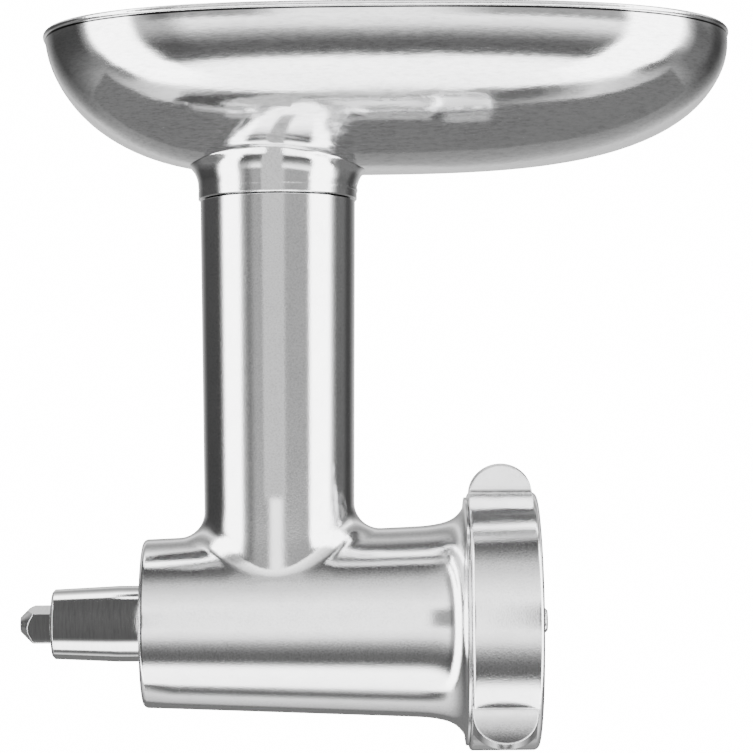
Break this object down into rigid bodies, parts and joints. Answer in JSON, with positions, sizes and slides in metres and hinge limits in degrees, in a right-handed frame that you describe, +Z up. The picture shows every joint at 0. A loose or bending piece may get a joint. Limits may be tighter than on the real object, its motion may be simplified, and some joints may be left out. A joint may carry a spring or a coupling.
{
  "type": "electric meat grinder",
  "caption": "Meat grinder attachment driven by a stand mixer's hub, with a feed tube, a food tray, a perforated plate and an eared locking ring",
  "frame": {"origin": "on the barrel's axis in the rear shoulder that seats on the mixer's hub", "axes": "+X along the barrel towards the locking ring, +Z up the feed tube"},
  "size_m": [0.2915, 0.1766, 0.2926],
  "materials": {
    "cast_alloy": "polished casting with a fine grain",
    "stainless": "polished pressed sheet",
    "bright_steel": "bright turned steel",
    "tool_steel": "ground",
    "bronze": "turned",
    "seal_rubber": "moulded"
  },
  "bodies": {
    "housing": {"grinder_housing": "cast_alloy", "hub_sleeve": "bright_steel", "rear_bush": "bronze", "shaft_seal": "seal_rubber", "thrust_washer": "bronze", "locating_pin": "bright_steel"},
    "worm": {"feed_worm": "cast_alloy", "drive_shaft": "bright_steel", "shaft_cross_pin": "bright_steel", "knife_stud": "bright_steel", "knife": "tool_steel"},
    "plate": {"grinding_plate": "tool_steel"},
    "ring": {"locking_ring": "cast_alloy"},
    "tray": {"tray_pan": "stainless", "tray_neck": "cast_alloy"}
  },
  "joints": [
    {"name": "worm_spin", "type": "hinge", "parent": "housing", "child": "worm", "pos_m": [0, 0, 0], "axis": [1, 0, 0], "continuous": true},
    {"name": "plate_slide", "type": "slide", "parent": "housing", "child": "plate", "axis": [1, 0, 0], "range_m": [0, 0.0131]},
    {"name": "ring_turn", "type": "hinge", "parent": "plate", "child": "ring", "pos_m": [0.14, 0, 0], "axis": [1, 0, 0], "range_deg": [0, 1170]},
    {"name": "tray_lift", "type": "slide", "parent": "housing", "child": "tray", "axis": [0, 0, 1], "range_m": [0, 0.06]}
  ],
  "couplings": [
    {"joint": "plate_slide", "follows": "ring_turn", "m_per_rad": 0.00063662}
  ]
}
